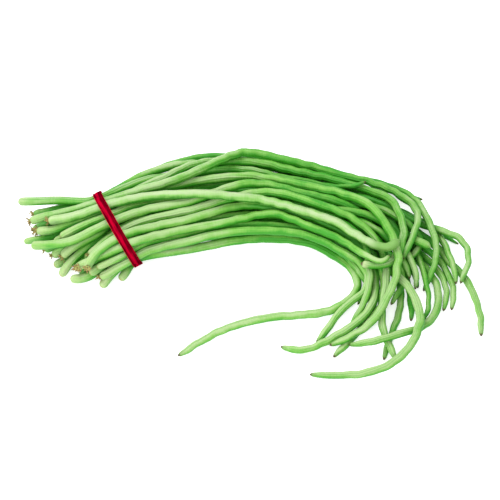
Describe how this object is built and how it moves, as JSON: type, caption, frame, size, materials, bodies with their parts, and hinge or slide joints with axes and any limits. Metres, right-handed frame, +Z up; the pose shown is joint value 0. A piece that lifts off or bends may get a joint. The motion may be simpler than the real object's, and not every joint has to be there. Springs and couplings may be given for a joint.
{
  "type": "yardlong bean bunch",
  "caption": "Tied bunch of long thin green bean pods lying on a surface, stem ends gathered by one red tape, crown arched, loose curling tips spread to one side.",
  "frame": {"origin": "middle of the bunch's outline, on the surface that it lies on", "axes": "+X from the stem ends towards the loose tips, +Z up, the loose tips curl round towards -Y"},
  "size_m": [0.442, 0.2586, 0.0479],
  "materials": {
    "bean_pod": "fresh light green pod skin, softly shiny, paler at the stem end",
    "tape": "glossy crimson plastic tape, creased along its length"
  },
  "bodies": {
    "root": {"pod_back_01": "bean_pod", "pod_back_02": "bean_pod", "pod_back_03": "bean_pod", "pod_back_04": "bean_pod", "pod_back_05": "bean_pod", "pod_core_01": "bean_pod", "pod_core_02": "bean_pod", "pod_core_03": "bean_pod", "pod_core_04": "bean_pod", "pod_core_05": "bean_pod", "pod_core_06": "bean_pod", "pod_core_07": "bean_pod", "pod_core_08": "bean_pod", "pod_core_09": "bean_pod", "pod_core_10": "bean_pod", "pod_core_11": "bean_pod", "pod_core_12": "bean_pod", "pod_core_13": "bean_pod", "pod_core_14": "bean_pod", "pod_core_15": "bean_pod", "pod_core_16": "bean_pod", "pod_core_17": "bean_pod", "pod_core_18": "bean_pod", "pod_core_19": "bean_pod", "pod_core_20": "bean_pod", "pod_core_21": "bean_pod", "pod_core_22": "bean_pod", "pod_core_23": "bean_pod", "pod_front_01": "bean_pod", "pod_front_02": "bean_pod", "pod_front_03": "bean_pod", "pod_front_04": "bean_pod", "pod_mid_01": "bean_pod", "pod_mid_02": "bean_pod", "pod_mid_03": "bean_pod", "pod_mid_04": "bean_pod", "pod_top_01": "bean_pod", "pod_top_02": "bean_pod", "tie_band": "tape"}
  },
  "joints": []
}
